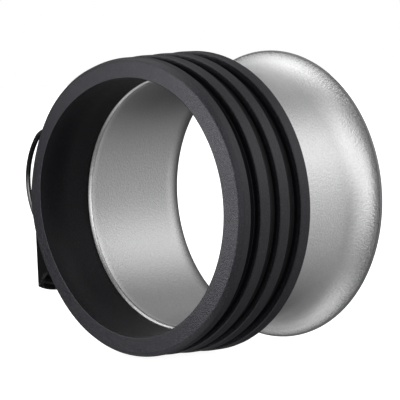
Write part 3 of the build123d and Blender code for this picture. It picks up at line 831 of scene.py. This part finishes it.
# ---------------------------------------------------------------------------
# lever: a flat pattern folded into a channel, web outwards and a flange at each side
# In the pattern, u runs across the outer face from the middle and the other axis is z.
# ---------------------------------------------------------------------------
LEVER_Y0, LEVER_Y1, LEVER_T, WEB_N = 10.0, 29.3, 1.2, 66.3
WEB_TOP, TIP_Z = -4.5, -32.7               # z of the web's top edge and of its lower corners
CROWN = 2.3                                # how far the thumb end bows down at the middle
BEND_R = 0.95                              # outer bend radius
EAR_R = 2.7                                # flange's round end about the pivot
PIN_HOLE_R, BAIL_HOLE_R = 1.30, 1.05
HEEL = (56.9, -22.6)                       # (n, z) of the flange's lower corner by the tube
LEVER_WIDTH = LEVER_Y1 - LEVER_Y0
LEVER_MID_Y = 0.5 * (LEVER_Y0 + LEVER_Y1)
FLAT_HALF = LEVER_WIDTH / 2 - BEND_R       # half the web's flat part
BEND_LEN = BEND_R * math.pi / 2
FLANGE_U = FLAT_HALF + BEND_LEN            # u where the flat flange starts
# grip grooves: inset from the web's sides, span above the thumb end, depth, number
GROOVE_INSET, GROOVE_FROM, GROOVE_TO, GROOVE_DEPTH, GROOVE_COUNT = 0.8, 1.2, 8.4, 0.30, 2


def fold_lever(u, z):
    s = 1 if u >= 0 else -1
    a = abs(u)
    if a <= FLAT_HALF:
        return (-WEB_N, LEVER_MID_Y + u, z), (-1, 0, 0)
    if a <= FLANGE_U:
        t = (a - FLAT_HALF) / BEND_R
        point = (-(WEB_N - BEND_R + BEND_R * math.cos(t)),
                 LEVER_MID_Y + s * (FLAT_HALF + BEND_R * math.sin(t)), z)
        return point, (-math.cos(t), s * math.sin(t), 0)
    return (-(WEB_N - BEND_R - (a - FLANGE_U)), LEVER_MID_Y + s * LEVER_WIDTH / 2, z), (0, s, 0)


def flange_u(n):
    return FLANGE_U + (WEB_N - BEND_R - n)


def arc_through(p, q, r, steps):
    """Arc from p through q to r, for points on the +x side of its centre."""
    (ax, ay), (bx, by), (cx, cy) = p, q, r
    d = 2 * (ax * (by - cy) + bx * (cy - ay) + cx * (ay - by))
    aa, bb, cc = ax * ax + ay * ay, bx * bx + by * by, cx * cx + cy * cy
    x = (aa * (by - cy) + bb * (cy - ay) + cc * (ay - by)) / d
    y = (aa * (cx - bx) + bb * (ax - cx) + cc * (bx - ax)) / d
    return arc((x, y), math.hypot(ax - x, ay - y), math.atan2(ay - y, ax - x),
               math.atan2(cy - y, cx - x), steps)


def thumb_edge(u):
    """z of the web's bowed lower edge."""
    return TIP_Z - CROWN * (1 - (u / (LEVER_WIDTH / 2)) ** 2)


def lever_outline():
    # one flange: round the ear, down the edge by the tube, then out to the tip
    flange = arc((PIVOT_N, PIVOT_Z), EAR_R, 0.12, math.pi, 24)
    flange += arc_through((PIVOT_N - EAR_R, PIVOT_Z), (58.25, -11.8), HEEL, 14)[1:]
    end_n, end_z = WEB_N - LEVER_T - 0.2, TIP_Z + 0.9
    flange += [(HEEL[0] + (end_n - HEEL[0]) * k / 10, HEEL[1] + (end_z - HEEL[1]) * k / 10)
               for k in range(1, 11)]
    flange.append((end_n + 0.45, TIP_Z + 0.25))
    flange = [(flange_u(n), z) for n, z in flange]
    # the web's top edge turns up into the flange
    web_edge, ear_u = FLAT_HALF - 0.9, flange[0][0]
    shoulder = [(web_edge, WEB_TOP), (web_edge + 0.55, WEB_TOP + 0.12),
                (web_edge + 0.95, WEB_TOP + 0.5), (web_edge + 1.15, WEB_TOP + 1.05),
                (web_edge + 1.35, -2.2), (ear_u - 1.0, -0.95), (ear_u - 0.75, -0.35),
                (ear_u - 0.4, 0.02)]
    half = shoulder + flange
    crown = [FLAT_HALF * (1 - 2 * k / 20) for k in range(21)]
    return half + [(u, thumb_edge(u)) for u in crown] + [(-u, z) for u, z in reversed(half)]


def groove_depth(u, z):
    """Grip grooves in the web's inner face, curved like the thumb end."""
    margin = FLAT_HALF - GROOVE_INSET - abs(u)
    above = z - thumb_edge(u)
    if margin < 0 or not GROOVE_FROM < above < GROOVE_TO:
        return 0.0
    turns = (above - GROOVE_FROM) / (GROOVE_TO - GROOVE_FROM) * GROOVE_COUNT
    wave = max(0.0, math.sin(turns * 2 * math.pi))
    return GROOVE_DEPTH * wave * min(1.0, margin / GROOVE_INSET)


def build_lever():
    holes = []
    for side in (1, -1):
        for centre, radius, steps in (((PIVOT_N, PIVOT_Z), PIN_HOLE_R, 36),
                                      (BAIL_EYE, BAIL_HOLE_R, 30)):
            circle = arc(centre, radius, 0, 2 * math.pi, steps)[:-1]
            holes.append([(side * flange_u(n), z) for n, z in circle])
    creases = []
    for k in range(7):
        u = FLAT_HALF + BEND_LEN * k / 6
        creases += [u, -u]
    shape = pressed_sheet(lever_outline(), holes, fold_lever, thickness=LEVER_T, step=0.42,
                          thinning=groove_depth, creases=creases)
    lever = new_mesh("lever_channel", shape, LEVER_BLACK, "latch_lever", body="lever",
                     sharp=50.0)
    bevel_edges(lever.data, offset=0.14, over=55, sharp=50)


# ---------------------------------------------------------------------------
# pivot pin and spacers
# ---------------------------------------------------------------------------
# (radius, y): head at the mouth side, shank, and a neck near the far end
PIN_PROFILE = (
    (0, 9.05), (1.35, 9.05), (1.75, 9.16), (2.1, 9.42), (2.2, 9.6), (2.2, 9.86), (2.16, 9.9),
    (1.25, 9.9), (1.25, 29.34), (0.92, 29.38), (0.92, 29.92), (1.25, 29.96), (1.25, 30.2),
    (1.0, 30.45), (0, 30.45))
SPACER_Y = ((11.3, 17.5), (21.8, 28.0))    # start, end
SPACER_BORE_R, SPACER_R = 1.28, 2.3


def build_pivot():
    pin = turned_pin(PIN_PROFILE, 48, (-PIVOT_N, 0, PIVOT_Z), (0, 1, 0))
    new_mesh("pin_pivot", pin, STEEL, "lever_pivot_pin")
    spacers = []
    for lo, hi in SPACER_Y:
        section = fillet_poly([(SPACER_BORE_R, lo, 0.05), (SPACER_R, lo, 0.2),
                               (SPACER_R, hi, 0.2), (SPACER_BORE_R, hi, 0.05)],
                              seg=4, keep=0.15)
        spacers.append(revolve(section, 48, axis=(-PIVOT_N, PIVOT_Z)))
    new_mesh("spacers_pivot", join(spacers), STEEL, "pivot_spacers")


def finish_cad_pieces():
    """CAD pieces that keep their shape and only get a material."""
    for node, finish in (("latch_base", BLACK), ("catch_plate", BLACK),
                         ("band_buckle", BLACK), ("pivot_clip", STEEL)):
        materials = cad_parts[node].data.materials
        materials.clear()
        materials.append(finish[0])


# ---------------------------------------------------------------------------
# studio: pale floor, soft light, camera
# ---------------------------------------------------------------------------
AMBIENT = 0.0
# soft lights in the world: direction, strength, tightness
LOBES = (
    ((0.85, -0.52, 0.12), 1.21, 20.0), ((0.87, 0.13, 0.48), 1.08, 6.0),
    ((-0.56, -0.69, 0.46), 1.01, 20.0), ((-0.51, -0.06, 0.86), 0.98, 11.0),
    ((-0.20, -0.33, 0.92), 0.95, 20.0), ((0.62, -0.78, -0.06), 0.87, 20.0),
    ((0.88, -0.10, -0.46), 0.76, 20.0), ((-0.43, -0.48, -0.77), 0.84, 11.0),
    ((-0.52, -0.42, 0.74), 0.81, 20.0), ((0.38, 0.88, 0.28), 0.76, 20.0),
    ((0.06, -0.14, -0.99), 0.69, 11.0), ((0.48, 0.85, -0.21), 0.58, 20.0),
    ((0.64, -0.04, 0.77), 0.43, 11.0), ((-0.42, 0.44, 0.79), 0.50, 11.0),
    ((0.41, 0.73, 0.54), 0.46, 11.0), ((0.10, -0.99, 0.06), 0.35, 20.0),
    ((-0.80, 0.24, -0.54), 0.32, 11.0), ((0.39, 0.62, -0.68), 0.27, 11.0))
WHITE = (1.0, 1.0, 1.0)


def build_world():
    """White to the camera; every other ray sees the soft lights."""
    world = bpy.data.worlds.new("studio")
    scene.world = world
    g = Graph(world)
    output = g.node("OutputWorld")
    coord = g.node("TexCoord")
    ray = g.node("VectorMath", {0: coord.outputs["Generated"]}, operation="NORMALIZE")
    total = None
    for direction, strength, tightness in LOBES:
        dot = g.node("VectorMath", {0: ray.outputs[0], 1: Vector(direction).normalized()},
                     operation="DOT_PRODUCT").outputs["Value"]
        falloff = g.math("EXPONENT", g.times(g.math("SUBTRACT", dot, 1.0), by=tightness))
        lobe = g.times(falloff, by=strength)
        total = lobe if total is None else g.add(total, plus=lobe)
    total = g.add(total, plus=AMBIENT)
    lights = g.node("Background", {"Strength": total, "Color": WHITE})
    backdrop = g.node("Background", {"Color": WHITE, "Strength": 1.0})
    rays = g.node("LightPath")
    shown = g.node("MixShader", {0: rays.outputs["Is Camera Ray"], 1: lights.outputs[0],
                                 2: backdrop.outputs[0]})
    g.feed(output.inputs[0], shown.outputs[0])


def build_floor():
    """Pale glowing floor that only camera rays see."""
    half, z = 12, cad_lo.z - 0.0002        # metres
    material = bpy.data.materials.new("pale_floor")
    g = Graph(material)
    output = g.node("OutputMaterial")
    rays = g.node("LightPath")
    glow = g.node("Emission", {0: WHITE, 1: 0.94})
    matte = g.node("BsdfDiffuse", {0: (0.8, 0.8, 0.8)})
    pale = g.node("AddShader", {0: glow.outputs[0], 1: matte.outputs[0]})
    clear = g.node("BsdfTransparent")
    shown = g.node("MixShader", {0: rays.outputs["Is Camera Ray"], 1: clear.outputs[0],
                                 2: pale.outputs[0]})
    g.feed(output.inputs[0], shown.outputs[0])
    mesh = bpy.data.meshes.new("studio_floor")
    corners = [(-half, -half, z), (half, -half, z), (half, half, z), (-half, half, z)]
    mesh.from_pydata(corners, [], [(0, 1, 2, 3)])
    floor = bpy.data.objects.new("studio_floor", mesh)
    floor.data.materials.append(material)
    scene.collection.objects.link(floor)


def build_soft_box(collar):
    """Almost level light from the mouth end, at the camera's left, on the rubber only."""
    towards_light = Vector((-0.40, -0.91, 0.06))
    sun = bpy.data.lights.new("rubber_soft_box", "SUN")
    sun.energy = 1.52
    sun.angle = math.radians(26.0)
    light = bpy.data.objects.new("rubber_soft_box", sun)
    light.rotation_euler = towards_light.to_track_quat("Z", "Y").to_euler()
    scene.collection.objects.link(light)
    reach = bpy.data.collections.new("rubber_soft_box_reach")
    reach.objects.link(collar)
    light.light_linking.receiver_collection = reach


def build_camera():
    place = Vector((0.83073, -0.80590, 0.05546))
    right = Vector((0.71374, 0.69891, -0.04584)).normalized()
    forward = Vector((-0.70041, 0.71221, -0.04671)).normalized()
    data = bpy.data.cameras.new("camera")
    data.lens = 270.0
    data.sensor_width = 36.0
    data.clip_start = 0.05
    data.clip_end = 60.0
    data.shift_x = -0.00125
    data.shift_y = 0.00125
    camera = bpy.data.objects.new("camera", data)
    scene.collection.objects.link(camera)
    up = right.cross(forward).normalized()
    right = forward.cross(up).normalized()     # square to the other two
    turn = Matrix((right, up, -forward)).transposed()
    camera.matrix_world = Matrix.Translation(place) @ turn.to_4x4()
    scene.camera = camera


# ---------------------------------------------------------------------------
# build
# ---------------------------------------------------------------------------
build_tube()
rubber = build_collar()
build_straps()
build_rivets("rivets_base", (-11.5, -17.5), "base_rivets")
build_rivets("rivets_catch", (35.6, 41.4), "catch_rivets")
build_bail()
build_lever()
build_pivot()
finish_cad_pieces()

scene.view_settings.view_transform = "Standard"
scene.view_settings.look = "None"
build_world()
build_floor()
build_soft_box(rubber)
build_camera()

bpy.context.view_layer.update()
